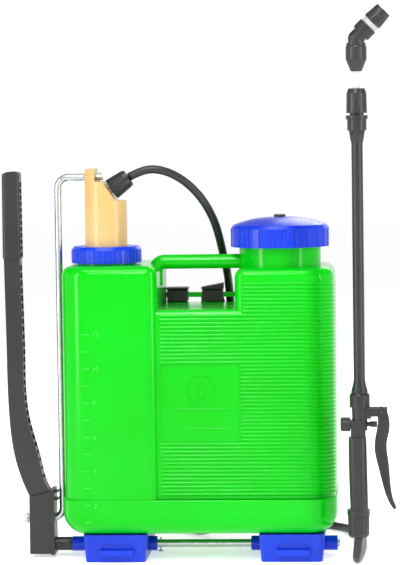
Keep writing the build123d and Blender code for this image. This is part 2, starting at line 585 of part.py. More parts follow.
with BuildPart() as valve_plunger:
    revolve(turned_face(valve_foot, RIGHT, (181.2, 0), (181.2, 2.0), (185.5, 2.0), (185.5, 4.6), (187.4, 4.6),
                        (189.2, 2.65), (203, 2.65), (203, 3.4), (211.0, 3.4), (211.0, 0)), axis=valve_axis)

with BuildPart() as valve_spring:
    spring_turns, spring_pitch, wire_r = 4, 1.6, 0.45
    for turn in range(spring_turns):
        with Locations(Plane((177.2 + turn * spring_pitch, LANCE_Y, VALVE_Z), z_dir=RIGHT)):
            Torus(2.62, wire_r)

with BuildPart() as trigger_pin:
    with Locations(Location((TRIGGER_PIN_X, LANCE_Y, TRIGGER_PIN_Z), (90, 0, 0))):
        Cylinder(1.5, 20)

with BuildPart() as trigger:
    with BuildSketch(Plane((0, LANCE_Y, 0), x_dir=RIGHT, z_dir=(0, -1, 0))):
        with BuildLine():
            Spline((221.5, 183.5), (224.6, 175), (225.0, 160), (222.4, 148.5), (221.8, 140), (223.8, 121.9),
                   (225.8, 97), (228.4, 80.4), (232.0, 70.8))
            ThreePointArc((232.0, 70.8), (231.2, 68.2), (228.6, 68.9))
            Spline((228.6, 68.9), (223.3, 77.7), (217.6, 94.3), (211.6, 119.2), (207.9, 138.5), (208.2, 147),
                   (210.6, 160), (212.0, 172), (211, 179.5))
            ThreePointArc((211, 179.5), (215, 187.3), (221.5, 183.5))
        make_face()
    extrude(amount=4.7, both=True)
    with Locations(Location((TRIGGER_PIN_X, LANCE_Y, TRIGGER_PIN_Z), (90, 0, 0))):
        Cylinder(1.55, 30, mode=Mode.SUBTRACT)
    # shallow panels that leave a raised rim on both sides
    for face in (-4.7, 4.7):
        with BuildSketch(Plane((0, LANCE_Y + face, 0), x_dir=RIGHT, z_dir=(0, -1, 0))):
            with BuildLine():
                Polyline((212.5, 146), (218.2, 146), (219.6, 120), (221.8, 97), (223.6, 86), (220.4, 93), (215.6, 118),
                         (212.0, 138), close=True)
            make_face()
        extrude(amount=1.2, both=True, mode=Mode.SUBTRACT)


# ---- lance tubes ---------------------------------------------------------------------------------
TUBE_R, INNER_R = 6.6, 4.1

with BuildPart() as lance_union_nut:
    revolve(turned_face(lance_foot, UP, (187, 6.7), (187, 11.8), (201, 11.8), (203, 10.5), (203, TUBE_R),
                        (199, TUBE_R), (199, 6.7)), axis=lance_axis)
    with BuildSketch(Plane((LANCE_X, LANCE_Y, 186))):
        with PolarLocations(12.6, 14):
            Circle(1.6)
    extrude(amount=15, mode=Mode.SUBTRACT)

with BuildPart() as lance_outer_tube:
    revolve(turned_face(lance_foot, UP, (199, 4.8), (199, TUBE_R), (203.4, TUBE_R), (203.4, 9.6), (206, 9.6),
                        (214, 7.4), (220, TUBE_R), (497, TUBE_R), (497, 4.8)), axis=lance_axis)

with BuildPart() as lance_socket:
    revolve(turned_face(lance_foot, UP, (494, TUBE_R), (494, 7.0), (508, 9.6), (508, 11.2), (521, 11.2), (521, 12.7),
                        (525.5, 12.7), (525.5, 8.2), (548, 7.6), (548, 4.9), (497, 4.9), (497, TUBE_R)), axis=lance_axis)
    with BuildSketch(Plane((LANCE_X, LANCE_Y, 494))):
        with PolarLocations(10.2, 6):
            Circle(2.1)
    extrude(amount=14, mode=Mode.SUBTRACT)

with BuildPart() as tube_seal:
    revolve(tube_face(lance_foot, UP, 548.4, 551.5, 8.0, INNER_R), axis=lance_axis)

with BuildPart() as lance_lock_nut:
    revolve(turned_face(lance_foot, UP, (528, 8.4), (528, 12.1), (551, 11.6), (556.5, 9.5), (556.5, INNER_R + GAP),
                        (552.3, INNER_R + GAP), (552.3, 8.4)), axis=lance_axis)
    with BuildSketch(Plane((LANCE_X, LANCE_Y, 531))):
        with PolarLocations(12.6, 14):
            Circle(1.5)
    extrude(amount=20, mode=Mode.SUBTRACT)

with BuildPart() as lance_inner_tube:
    revolve(tube_face(lance_foot, UP, 232, 592, INNER_R, 2.9), axis=lance_axis)

with BuildPart() as elbow_nut:
    revolve(turned_face(lance_foot, UP, (576, INNER_R), (576, 6.4), (590, 12.2), (604, 12.2), (606, 11.4), (606, 7.6),
                        (592, 7.6), (592, INNER_R)), axis=lance_axis)
    with BuildSketch(Plane((LANCE_X, LANCE_Y, 588))):
        with PolarLocations(12.9, 14):
            Circle(1.4)
    extrude(amount=18, mode=Mode.SUBTRACT)

ELBOW_Z = 614.0
TIP_AXIS = (math.sqrt(0.5), 0, math.sqrt(0.5))
elbow_centre = (LANCE_X, LANCE_Y, ELBOW_Z)
tip_axis = Axis(elbow_centre, TIP_AXIS)

with BuildPart() as nozzle_elbow:
    revolve(turned_face(lance_foot, UP, (593, 0), (593, 7.2), (606.3, 7.2), (606.3, 11.2), (609, 11.2), (609, 9.3),
                        (ELBOW_Z, 9.3), (ELBOW_Z, 0)), axis=lance_axis)
    with Locations(elbow_centre):
        Sphere(9.3)
    revolve(turned_face(elbow_centre, TIP_AXIS, (0, 0), (0, 9.3), (7, 9.3), (7, 7.2), (22, 7.2), (22, 6.0), (29, 6.0),
                        (29, 0)), axis=tip_axis)
    revolve(tube_face(elbow_centre, TIP_AXIS, 0, 30, 2.6), axis=tip_axis, mode=Mode.SUBTRACT)
    revolve(tube_face(lance_foot, UP, 592, ELBOW_Z, 2.6), axis=lance_axis, mode=Mode.SUBTRACT)

with BuildPart() as nozzle_union:
    revolve(turned_face(elbow_centre, TIP_AXIS, (7.3, 7.3), (7.3, 10.6), (9, 11.6), (20, 11.6), (20, 7.3)), axis=tip_axis)
    with BuildSketch(Plane(elbow_centre, z_dir=TIP_AXIS).offset(6)):
        with PolarLocations(12.4, 14):
            Circle(1.4)
    extrude(amount=14.5, mode=Mode.SUBTRACT)

with BuildPart() as nozzle_ring:
    revolve(tube_face(elbow_centre, TIP_AXIS, 20.3, 26.0, 10.2, 7.3), axis=tip_axis)

with BuildPart() as nozzle_cap:
    revolve(turned_face(elbow_centre, TIP_AXIS, (26.4, 6.4), (26.4, 11.5), (29.5, 11.5), (45.5, 9.9), (45.5, 3.2),
                        (43, 0.9), (42, 0.9), (42, 6.4)), axis=tip_axis)
    with BuildSketch(Plane(elbow_centre, z_dir=TIP_AXIS).offset(29)):
        with PolarLocations(12.2, 12):
            Circle(1.9)
    extrude(amount=17, mode=Mode.SUBTRACT)

with BuildPart() as nozzle_core:
    revolve(turned_face(elbow_centre, TIP_AXIS, (29.2, 1.5), (29.2, 6.1), (33, 6.1), (41.8, 3.4), (41.8, 1.0),
                        (33, 1.5)), axis=tip_axis)


# ---- write every piece ------------------------------------------------------------------------------
pieces = {
    "tank": tank, "left_foot": left_foot, "right_foot": right_foot, "foot_screws": foot_screws,
    "pump_collar": pump_collar, "pump_gasket": pump_gasket, "pump_cylinder": pump_cylinder,
    "pump_guide_bush": pump_guide_bush, "suction_valve": suction_valve, "suction_ball": suction_ball,
    "suction_filter": suction_filter, "pressure_chamber": pressure_chamber, "hose_tail": hose_tail,
    "pump_hose_nut": pump_hose_nut, "piston_seal": piston_seal, "piston_retainer": piston_retainer,
    "delivery_valve": delivery_valve, "delivery_ball": delivery_ball, "pump_lever": pump_lever,
    "lever_grip": lever_grip, "lever_bracket": lever_bracket, "axle_socket": axle_socket,
    "lever_axle": lever_axle, "axle_split_pin": axle_split_pin, "link_rod": link_rod,
    "rod_bottom_clip": rod_bottom_clip, "rod_top_clip": rod_top_clip, "filler_lid": filler_lid,
    "lid_gasket": lid_gasket, "lid_vent_valve": lid_vent_valve, "filler_strainer": filler_strainer,
    "strap_hook_left": strap_hook_left, "strap_hook_right": strap_hook_right,
    "left_shoulder_strap": left_shoulder_strap, "right_shoulder_strap": right_shoulder_strap,
    "strap_buckles": strap_buckles,
    "hose_upper": hose_upper, "hose_lower": hose_lower, "lance_hose_nut": lance_hose_nut,
    "handle_tail": handle_tail, "handle_grip": handle_grip, "handle_filter": handle_filter,
    "valve_cap": valve_cap, "valve_plunger": valve_plunger, "valve_spring": valve_spring,
    "trigger_pin": trigger_pin, "trigger": trigger, "lance_union_nut": lance_union_nut,
    "lance_outer_tube": lance_outer_tube, "lance_socket": lance_socket, "tube_seal": tube_seal,
    "lance_lock_nut": lance_lock_nut, "lance_inner_tube": lance_inner_tube, "elbow_nut": elbow_nut,
    "nozzle_elbow": nozzle_elbow, "nozzle_union": nozzle_union, "nozzle_ring": nozzle_ring,
    "nozzle_cap": nozzle_cap, "nozzle_core": nozzle_core,
}
os.makedirs("parts", exist_ok=True)
for name, piece in pieces.items():
    piece.part.label = name
    export_step(piece.part, f"parts/{name}.step")
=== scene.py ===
"""Backpack sprayer: cords, webbing, marks, materials, floor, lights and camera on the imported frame."""

import json
import math

import bpy
from mathutils import Matrix, Vector
from mathutils.bvhtree import BVHTree


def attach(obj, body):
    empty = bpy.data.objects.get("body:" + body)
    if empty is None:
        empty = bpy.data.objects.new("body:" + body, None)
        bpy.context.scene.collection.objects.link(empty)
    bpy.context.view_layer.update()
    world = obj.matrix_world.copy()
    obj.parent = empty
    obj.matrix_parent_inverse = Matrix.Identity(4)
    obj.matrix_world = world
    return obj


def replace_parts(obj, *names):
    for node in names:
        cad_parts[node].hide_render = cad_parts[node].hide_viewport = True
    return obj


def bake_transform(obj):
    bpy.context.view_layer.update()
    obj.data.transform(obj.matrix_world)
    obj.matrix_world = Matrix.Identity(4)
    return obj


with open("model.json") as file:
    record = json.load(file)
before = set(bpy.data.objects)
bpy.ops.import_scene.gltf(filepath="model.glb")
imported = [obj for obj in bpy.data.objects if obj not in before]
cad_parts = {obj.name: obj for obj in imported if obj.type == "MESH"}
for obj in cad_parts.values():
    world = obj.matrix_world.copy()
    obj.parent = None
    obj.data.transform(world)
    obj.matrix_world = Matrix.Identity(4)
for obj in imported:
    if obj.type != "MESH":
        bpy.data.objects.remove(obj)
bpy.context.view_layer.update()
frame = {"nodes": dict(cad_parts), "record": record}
nodes = frame["nodes"]
scene = bpy.context.scene


# ---- camera ---------------------------------------------------------------------------------------
def put_camera(distance, azimuth, elevation, roll, target, frame_height):
    a, e = math.radians(azimuth), math.radians(elevation)
    data = bpy.data.cameras.new("camera")
    data.sensor_width = 36.0
    data.lens = 36.0 * distance / frame_height
    data.clip_start, data.clip_end = 0.05, 60.0
    camera = bpy.data.objects.new("camera", data)
    scene.collection.objects.link(camera)
    back = Vector((math.sin(a) * math.cos(e), -math.cos(a) * math.cos(e), math.sin(e)))
    turn = (Matrix.Rotation(a, 4, "Z") @ Matrix.Rotation(math.pi / 2 - e, 4, "X")
            @ Matrix.Rotation(math.radians(roll), 4, "Z"))
    camera.matrix_world = Matrix.Translation(Vector(target) + back * distance) @ turn
    scene.camera = camera


put_camera(distance=3.3, azimuth=4.0, elevation=3.5, roll=-0.8, target=(0.0, 0.0, 0.32766), frame_height=0.678)


# ---- helpers --------------------------------------------------------------------------------------
def new_object(name, verts, faces, uvs=None, smooth=True):
    mesh = bpy.data.meshes.new(name)
    mesh.from_pydata([tuple(v) for v in verts], [], faces)
    if uvs is not None:
        layer = mesh.uv_layers.new(name="along")
        for loop in mesh.loops:
            layer.data[loop.index].uv = uvs[loop.vertex_index]
    if smooth:
        for polygon in mesh.polygons:
            polygon.use_smooth = True
    mesh.update()
    made = bpy.data.objects.new(name, mesh)
    scene.collection.objects.link(made)
    return made


def route_line(name, points):
    """Points along a smooth NURBS line whose control points are given in millimetres."""
    curve = bpy.data.curves.new(name + "_route", "CURVE")
    curve.dimensions = "3D"
    spline = curve.splines.new("NURBS")
    spline.points.add(len(points) - 1)
    for point, place in zip(spline.points, points):
        point.co = (place[0] / 1000, place[1] / 1000, place[2] / 1000, 1.0)
    spline.order_u = 3
    spline.use_endpoint_u = True
    spline.resolution_u = 10
    curve.resolution_u = 10
    route = bpy.data.objects.new(name + "_route", curve)
    scene.collection.objects.link(route)
    line = bpy.data.meshes.new_from_object(route)
    found = [v.co.copy() for v in line.vertices]
    bpy.data.objects.remove(route)
    bpy.data.meshes.remove(line)
    bpy.data.curves.remove(curve)
    return found


def run_lengths(line):
    total, out = 0.0, [0.0]
    for a, b in zip(line, line[1:]):
        total += (b - a).length
        out.append(total)
    return out


def tangents(line):
    last = len(line) - 1
    return [(line[min(i + 1, last)] - line[max(i - 1, 0)]).normalized() for i in range(len(line))]


def round_tube(name, line, radius, sides=28):
    """A round tube along a line, with UVs in metres: round it and along it."""
    along, lengths = tangents(line), run_lengths(line)
    side = along[0].orthogonal().normalized()
    verts, uvs = [], []
    for i, (centre, ahead) in enumerate(zip(line, along)):
        if i:
            side = (along[i - 1].rotation_difference(ahead) @ side).normalized()
        side = (side - ahead * side.dot(ahead)).normalized()
        up = ahead.cross(side)
        for k in range(sides):
            t = 2 * math.pi * k / sides
            verts.append(centre + (side * math.cos(t) + up * math.sin(t)) * radius)
            uvs.append((k / sides * 2 * math.pi * radius, lengths[i]))
    faces = []
    for i in range(len(line) - 1):
        for k in range(sides):
            n = (k + 1) % sides
            faces.append((i * sides + k, i * sides + n, (i + 1) * sides + n, (i + 1) * sides + k))
    faces.append(tuple(reversed(range(sides))))
    faces.append(tuple(range((len(line) - 1) * sides, len(line) * sides)))
    return new_object(name, verts, faces, uvs)


def smooth_line(points, steps=10):
    """Points on a Catmull-Rom line through the given vectors."""
    out = []
    for i in range(len(points) - 1):
        p1, p2 = points[i], points[i + 1]
        p0 = points[i - 1] if i else p1 * 2 - p2
        p3 = points[i + 2] if i + 2 < len(points) else p2 * 2 - p1
        for s in range(steps):
            t = s / steps
            out.append(0.5 * (p1 * 2 + (p2 - p0) * t + (p0 * 2 - p1 * 5 + p2 * 4 - p3) * t * t
                              + (p1 * 3 - p0 - p2 * 3 + p3) * t ** 3))
    out.append(points[-1].copy())
    return out


# ---- hoses ----------------------------------------------------------------------------------------
HOSE_RADIUS = 0.005
HOSE_UPPER = [
    (-82.0, -15.0, 455.6), (-67, -14.5, 463.2), (-50.0, -13.5, 465.0), (-30, -11, 459), (-10, -6.0, 445),
    (7, 2, 424), (18.5, 14, 399), (24, 28, 373), (27, 43, 353), (29, 58, 339), (30, 72, 326), (31, 80, 309),
    (32, 82.5, 288), (32.3, 82, 262), (32.2, 81, 232), (32, 80.5, 202),
]
HOSE_LOWER = [
    (32, 80.5, 202), (31.8, 80, 172), (32.2, 82, 138), (32.4, 86.5, 104), (31, 93.5, 72), (26, 103, 41),
    (13, 119, 16), (-8, 137, 5.6), (-29, 159, 5.2), (-34, 188, 5.2), (-18, 213, 5.2), (12, 225, 5.2),
    (47, 227, 5.2), (83, 221, 5.2), (117, 210, 5.2), (148, 192, 5.2), (171, 165, 5.2), (184, 130, 5.2),
    (190, 92, 5.2), (192, 50, 5.2), (191.5, 6, 5.2), (190, -34, 5.2), (187.5, -66, 5.2),
    (185.5, -86, 6.0), (185.8, -97.0, 13.0), (187.5, -100.0, 24.0), (188.5, -100.0, 35.0),
]


def hose_piece(name, points, node):
    line = route_line(name, points)
    tube = round_tube(name, line, HOSE_RADIUS)
    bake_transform(tube)
    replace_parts(tube, node)
    return tube


hoses = [
    hose_piece("delivery_hose_upper", HOSE_UPPER, "hose_upper"),
    hose_piece("delivery_hose_lower", HOSE_LOWER, "hose_lower"),
]


# ---- materials ------------------------------------------------------------------------------------
def begin(name):
    made = bpy.data.materials.new(name)
    made.use_nodes = True
    tree = made.node_tree
    return made, tree, tree.nodes["Principled BSDF"]


def add(tree, kind, inputs=None, **props):
    node = tree.nodes.new(kind)
    for key, value in props.items():
        setattr(node, key, value)
    for key, value in (inputs or {}).items():
        if isinstance(value, bpy.types.NodeSocket):
            tree.links.new(value, node.inputs[key])
        else:
            node.inputs[key].default_value = value
    return node


def mixed(tree, factor, first, second, how="MIX"):
    node = add(tree, "ShaderNodeMix", {}, data_type="RGBA", blend_type=how)
    for socket, value in ((node.inputs[0], factor), (node.inputs[6], first), (node.inputs[7], second)):
        if isinstance(value, bpy.types.NodeSocket):
            tree.links.new(value, socket)
        else:
            socket.default_value = value if isinstance(value, float) else (*value, 1.0)[:4]
    return node.outputs[2]


def spread(tree, value, low, high, start=0.3, end=0.7):
    return add(tree, "ShaderNodeMapRange", {"Value": value, "From Min": start, "From Max": end,
                                            "To Min": low, "To Max": high}).outputs["Result"]


def moulded(name, base, light, roughness, grain=420.0, grain_depth=0.00006, cloud=11.0, coat=0.0, specular=0.5):
    """Injection- or blow-moulded plastic: soft colour clouds, a fine skin grain and uneven gloss."""
    made, tree, shader = begin(name)
    place = add(tree, "ShaderNodeTexCoord").outputs["Object"]
    clouds = add(tree, "ShaderNodeTexNoise",
                 {"Vector": place, "Scale": cloud, "Detail": 3.0, "Roughness": 0.55}).outputs["Fac"]
    specks = add(tree, "ShaderNodeTexNoise", {"Vector": place, "Scale": 900.0, "Detail": 2.0}).outputs["Fac"]
    colour = mixed(tree, spread(tree, clouds, 0.0, 1.0), base, light)
    colour = mixed(tree, spread(tree, specks, 0.0, 0.12, 0.45, 0.75), colour, tuple(c * 0.72 for c in base))
    tree.links.new(colour, shader.inputs["Base Color"])
    smudge = add(tree, "ShaderNodeTexNoise",
                 {"Vector": place, "Scale": 55.0, "Detail": 4.0, "Roughness": 0.6}).outputs["Fac"]
    tree.links.new(spread(tree, smudge, roughness - 0.05, roughness + 0.06), shader.inputs["Roughness"])
    skin = add(tree, "ShaderNodeTexNoise",
               {"Vector": place, "Scale": grain, "Detail": 2.0, "Roughness": 0.5}).outputs["Fac"]
    bump = add(tree, "ShaderNodeBump", {"Height": skin, "Strength": 0.35, "Distance": grain_depth})
    tree.links.new(bump.outputs["Normal"], shader.inputs["Normal"])
    shader.inputs["Specular IOR Level"].default_value = specular
    shader.inputs["Coat Weight"].default_value = coat
    shader.inputs["Coat Roughness"].default_value = 0.15
    return made


def metal(name, base, roughness, grain=(900.0, 900.0, 25.0)):
    """Zinc plate: a bright metal with drawn streaks and faint spangle."""
    made, tree, shader = begin(name)
    place = add(tree, "ShaderNodeTexCoord").outputs["Object"]
    stretched = add(tree, "ShaderNodeMapping", {"Vector": place, "Scale": grain}).outputs["Vector"]
    streaks = add(tree, "ShaderNodeTexNoise", {"Vector": stretched, "Scale": 1.0, "Detail": 3.0}).outputs["Fac"]
    spangle = add(tree, "ShaderNodeTexVoronoi", {"Vector": place, "Scale": 260.0}).outputs["Distance"]
    tree.links.new(mixed(tree, spread(tree, spangle, 0.0, 1.0, 0.0, 0.8), base, tuple(c * 0.8 for c in base)),
                   shader.inputs["Base Color"])
    tree.links.new(spread(tree, streaks, roughness - 0.08, roughness + 0.1), shader.inputs["Roughness"])
    bump = add(tree, "ShaderNodeBump", {"Height": streaks, "Strength": 0.25, "Distance": 0.00005})
    tree.links.new(bump.outputs["Normal"], shader.inputs["Normal"])
    shader.inputs["Metallic"].default_value = 1.0
    return made


def hose_skin():
    """Black hose: cover with a fine woven imprint, dusty in places."""
    made, tree, shader = begin("hose_cover")
    place = add(tree, "ShaderNodeTexCoord")
    around = place.outputs["UV"]
    wrap = add(tree, "ShaderNodeMapping", {"Vector": around, "Rotation": (0.0, 0.0, 0.9)}).outputs["Vector"]
    cross = add(tree, "ShaderNodeMapping", {"Vector": around, "Rotation": (0.0, 0.0, -0.9)}).outputs["Vector"]
    one = add(tree, "ShaderNodeTexWave", {"Vector": wrap, "Scale": 210.0, "Distortion": 0.4}).outputs["Fac"]
    two = add(tree, "ShaderNodeTexWave", {"Vector": cross, "Scale": 210.0, "Distortion": 0.4}).outputs["Fac"]
    weave = add(tree, "ShaderNodeMath", {0: one, 1: two}, operation="MAXIMUM").outputs[0]
    dust = add(tree, "ShaderNodeTexNoise",
               {"Vector": place.outputs["Object"], "Scale": 38.0, "Detail": 4.0}).outputs["Fac"]
    tree.links.new(mixed(tree, spread(tree, dust, 0.0, 1.0), (0.006, 0.006, 0.007), (0.015, 0.015, 0.016)),
                   shader.inputs["Base Color"])
    tree.links.new(spread(tree, dust, 0.30, 0.42), shader.inputs["Roughness"])
    bump = add(tree, "ShaderNodeBump", {"Height": weave, "Strength": 0.3, "Distance": 0.00012})
    tree.links.new(bump.outputs["Normal"], shader.inputs["Normal"])
    return made


def webbing_cloth():
    """Woven polypropylene webbing: a herringbone of shiny black yarns."""
    made, tree, shader = begin("webbing_cloth")
    place = add(tree, "ShaderNodeTexCoord").outputs["UV"]
    parts = add(tree, "ShaderNodeSeparateXYZ", {"Vector": place})
    fold = add(tree, "ShaderNodeMath", {0: parts.outputs["X"], 1: 0.0062}, operation="PINGPONG").outputs[0]
    slanted = add(tree, "ShaderNodeCombineXYZ", {"X": fold, "Y": parts.outputs["Y"]}).outputs["Vector"]
    turned = add(tree, "ShaderNodeMapping", {"Vector": slanted, "Rotation": (0.0, 0.0, 0.72)}).outputs["Vector"]
    yarn = add(tree, "ShaderNodeTexWave", {"Vector": turned, "Scale": 170.0, "Distortion": 0.25, "Detail": 1.0},
               bands_direction="Y").outputs["Fac"]
    fibre = add(tree, "ShaderNodeTexNoise", {"Vector": place, "Scale": 2400.0, "Detail": 2.0}).outputs["Fac"]
    wear = add(tree, "ShaderNodeTexNoise", {"Vector": place, "Scale": 22.0, "Detail": 3.0}).outputs["Fac"]
    colour = mixed(tree, yarn, (0.006, 0.006, 0.007), (0.034, 0.034, 0.037))
    colour = mixed(tree, spread(tree, wear, 0.0, 0.35), colour, (0.05, 0.05, 0.052))
    tree.links.new(colour, shader.inputs["Base Color"])
    tree.links.new(spread(tree, fibre, 0.5, 0.75), shader.inputs["Roughness"])
    both = add(tree, "ShaderNodeMath", {0: yarn, 1: spread(tree, fibre, 0.0, 0.3)}, operation="ADD").outputs[0]
    bump = add(tree, "ShaderNodeBump", {"Height": both, "Strength": 0.8, "Distance": 0.0004})
    tree.links.new(bump.outputs["Normal"], shader.inputs["Normal"])
    shader.inputs["Sheen Weight"].default_value = 0.25
    return made


finishes = {
    "tank_green": moulded("tank_green_skin", (0.0, 0.40, 0.0), (0.0, 0.46, 0.006), 0.17, 240.0, 0.00005, 7.0,
                          specular=0.2),
    "blue_plastic": moulded("blue_moulding", (0.0, 0.024, 0.46), (0.0, 0.034, 0.54), 0.28, specular=0.3),
    "tan_plastic": moulded("tan_moulding", (0.52, 0.32, 0.10), (0.60, 0.39, 0.155), 0.30, specular=0.5),
    "black_plastic": moulded("black_moulding", (0.010, 0.010, 0.011), (0.020, 0.020, 0.021), 0.36, 520.0, 0.0001,
                              specular=0.42),
    "white_plastic": moulded("natural_moulding", (0.66, 0.66, 0.62), (0.76, 0.76, 0.72), 0.4),
    "strainer_plastic": moulded("strainer_moulding", (0.012, 0.03, 0.16), (0.02, 0.05, 0.22), 0.45),
    "grey_plastic": moulded("grey_moulding", (0.33, 0.33, 0.34), (0.42, 0.42, 0.43), 0.4),
    "clear_tube": moulded("fibreglass_tube", (0.50, 0.51, 0.51), (0.62, 0.63, 0.63), 0.28, 300.0, 0.0001, 60.0,
                          coat=0.3),
    "zinc_steel": metal("zinc_plate", (0.55, 0.56, 0.57), 0.27),
    "rubber": moulded("seal_rubber", (0.014, 0.014, 0.014), (0.026, 0.026, 0.026), 0.62, 700.0, 0.0002),
    "hose_rubber": hose_skin(),
    "webbing": webbing_cloth(),
}
slot_of = {part["node"]: part["material_slot"] for part in frame["record"]["subparts"]}
drawn_axle = metal("zinc_axle", (0.55, 0.56, 0.57), 0.24, (25.0, 700.0, 700.0))
dark_pin = metal("dark_pin", (0.10, 0.10, 0.105), 0.4)
special = {"lever_axle": drawn_axle, "trigger_pin": dark_pin}
for node, piece in nodes.items():
    piece.data.materials.clear()
    piece.data.materials.append(special.get(node, finishes[slot_of[node]]))


# A lighter, glossier copy of the tank green for the raised level lines and numbers: painted highlight standing in for
# the light that catches these marks moulded in the tank's own plastic.
painted_highlight_green = moulded("raised_mark_painted_highlight_green", (0.02, 0.50, 0.03), (0.03, 0.56, 0.05), 0.15, 240.0, 0.00004,
                     specular=0.35)


def dress(piece, slot, body, material=None):
    piece.data.materials.clear()
    piece.data.materials.append(material or finishes[slot])
    if body:
        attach(piece, body)
    return piece


for tube in hoses:
    tube.data.materials.append(finishes["hose_rubber"])


# ---- level marks and emblem, raised on the tank's front -------------------------------------------
tank_mesh = nodes["tank"].data
tank_tree = BVHTree.FromPolygons([v.co for v in tank_mesh.vertices],
                                 [tuple(p.vertices) for p in tank_mesh.polygons])


def on_front(x, z):
    place, normal, _index, _gap = tank_tree.ray_cast(Vector((x, -0.4, z)), Vector((0, 1, 0)))
    return place, (normal if normal.y < 0 else -normal)


def ridge(name, runs, half_width=0.0006, height=0.0004, closed=False):
    """Crowned raised lines that follow the tank's front, one for each run of (x, z) points."""
    verts, faces = [], []
    profile = [(-1.0, -0.3), (-0.85, 0.35), (-0.45, 0.85), (0.0, 1.0), (0.45, 0.85), (0.85, 0.35), (1.0, -0.3)]
    for run in runs:
        placed = [on_front(x / 1000, z / 1000) for x, z in run]
        line = [p for p, _n in placed]
        count = len(line)
        base = len(verts)
        for i, (place, normal) in enumerate(placed):
            if closed:
                ahead = (line[(i + 1) % count] - line[i - 1]).normalized()
            else:
                ahead = (line[min(i + 1, count - 1)] - line[max(i - 1, 0)]).normalized()
            across = ahead.cross(normal).normalized()
            taper = 1.0 if closed or 0 < i < count - 1 else 0.35
            for w, h in profile:
                verts.append(place + across * (w * half_width * taper) + normal * (h * height * taper))
        size = len(profile)
        for i in range(count if closed else count - 1):
            j = (i + 1) % count
            for k in range(size - 1):
                here, there = base + i * size + k, base + j * size + k
                faces.append((here, here + 1, there + 1, there))
    return new_object(name, verts, faces)


LITRE_Z = [50.0 + 20.2 * step for step in range(12)]
# level lines in the lighter green: painted highlight on the raised marks
dress(ridge("level_lines", [[(-135.5 + 1.2 * k, z) for k in range(9)] for z in LITRE_Z], 0.0006, 0.0007),
      "tank_green", "tank", painted_highlight_green)
for litres in range(2, 13, 2):
    text = bpy.data.curves.new("level_text", "FONT")
    text.body = str(litres)
    text.size = 0.0082
    text.extrude = 0.00045
    text.bevel_depth = 0.0002
    text.resolution_u = 4
    label = bpy.data.objects.new("level_text", text)
    scene.collection.objects.link(label)
    flat = bpy.data.meshes.new_from_object(label)
    bpy.data.objects.remove(label)
    bpy.data.curves.remove(text)
    verts = []
    for v in flat.vertices:
        x, z = -0.1235 + v.co.x, (LITRE_Z[litres - 1] - 2.8) / 1000 + v.co.y
        place, normal = on_front(x, z)
        verts.append(place + normal * (v.co.z + 0.00004))
    faces = [tuple(p.vertices) for p in flat.polygons]
    bpy.data.meshes.remove(flat)
    # numbers in the same lighter green: painted highlight on the raised marks
    dress(new_object("level_number_%d" % litres, verts, faces, smooth=False), "tank_green", "tank", painted_highlight_green)


def droplet(cx, cz, size):
    """Outline of a plain drop of water."""
    out = []
    for k in range(48):
        t = 2 * math.pi * k / 48
        out.append((cx + size * 0.62 * math.sin(t) * math.sin(t / 2) ** 1.4, cz + size * math.cos(t)))
    return out


CX, CZ = 4.0, 206.0
RING_RADIUS, RING_STEPS = 16.5, 64
circle = [(CX + RING_RADIUS * math.cos(2 * math.pi * k / RING_STEPS),
           CZ + RING_RADIUS * math.sin(2 * math.pi * k / RING_STEPS)) for k in range(RING_STEPS)]
dress(ridge("panel_emblem", [circle, droplet(CX, CZ, 11.5)], 0.0009, 0.0007, closed=True), "tank_green", "tank")
BAR_HEIGHTS = (182.5, 159.5)
dress(ridge("panel_bars", [[(CX - 35 + 70 * k / 20, z) for k in range(21)] for z in BAR_HEIGHTS], 0.0009, 0.0006),
      "tank_green", "tank")


# ---- shoulder straps ------------------------------------------------------------------------------
def ribbon(name, line, widths, thick, width, edge_wave=0.00025):
    """Flat webbing along a line. widths holds the across direction at each point."""
    along, lengths = tangents(line), run_lengths(line)
    section = []
    count = 14
    for k in range(count + 1):
        section.append((-1 + 2 * k / count, 1.0))
    for k in range(count + 1):
        section.append((1 - 2 * k / count, -1.0))
    verts, uvs = [], []
    for i, (place, ahead) in enumerate(zip(line, along)):
        across = (widths[i] - ahead * widths[i].dot(ahead)).normalized()
        out = across.cross(ahead)
        wave = edge_wave * math.sin(lengths[i] / 0.0021)
        for w, side in section:
            thin = 1.0 - 0.55 * max(0.0, abs(w) - 0.9) / 0.1
            ribs = 0.06 * math.cos(w * math.pi * 4)
            verts.append(place + across * (w * (width / 2) + (wave if abs(w) > 0.95 else 0.0) * (1 if w > 0 else -1))
                         + out * (side * thick / 2 * (thin + ribs * 0.5)))
            uvs.append(((w + 1) * width / 2, lengths[i]))
    size = len(section)
    faces = []
    for i in range(len(line) - 1):
        for k in range(size):
            n = (k + 1) % size
            faces.append((i * size + k, (i + 1) * size + k, (i + 1) * size + n, i * size + n))
    faces.append(tuple(range(size)))
    faces.append(tuple(reversed(range((len(line) - 1) * size, len(line) * size))))
    return new_object(name, verts, faces, uvs)


# along the stitch (0 to 1), lift over the webbing in metres, share of the thread's thickness
STITCH_FORM = ((0.0, -0.0002, 0.5), (0.2, 0.00022, 1.0), (0.5, 0.0003, 1.1), (0.8, 0.00022, 1.0), (1.0, -0.0002, 0.5))


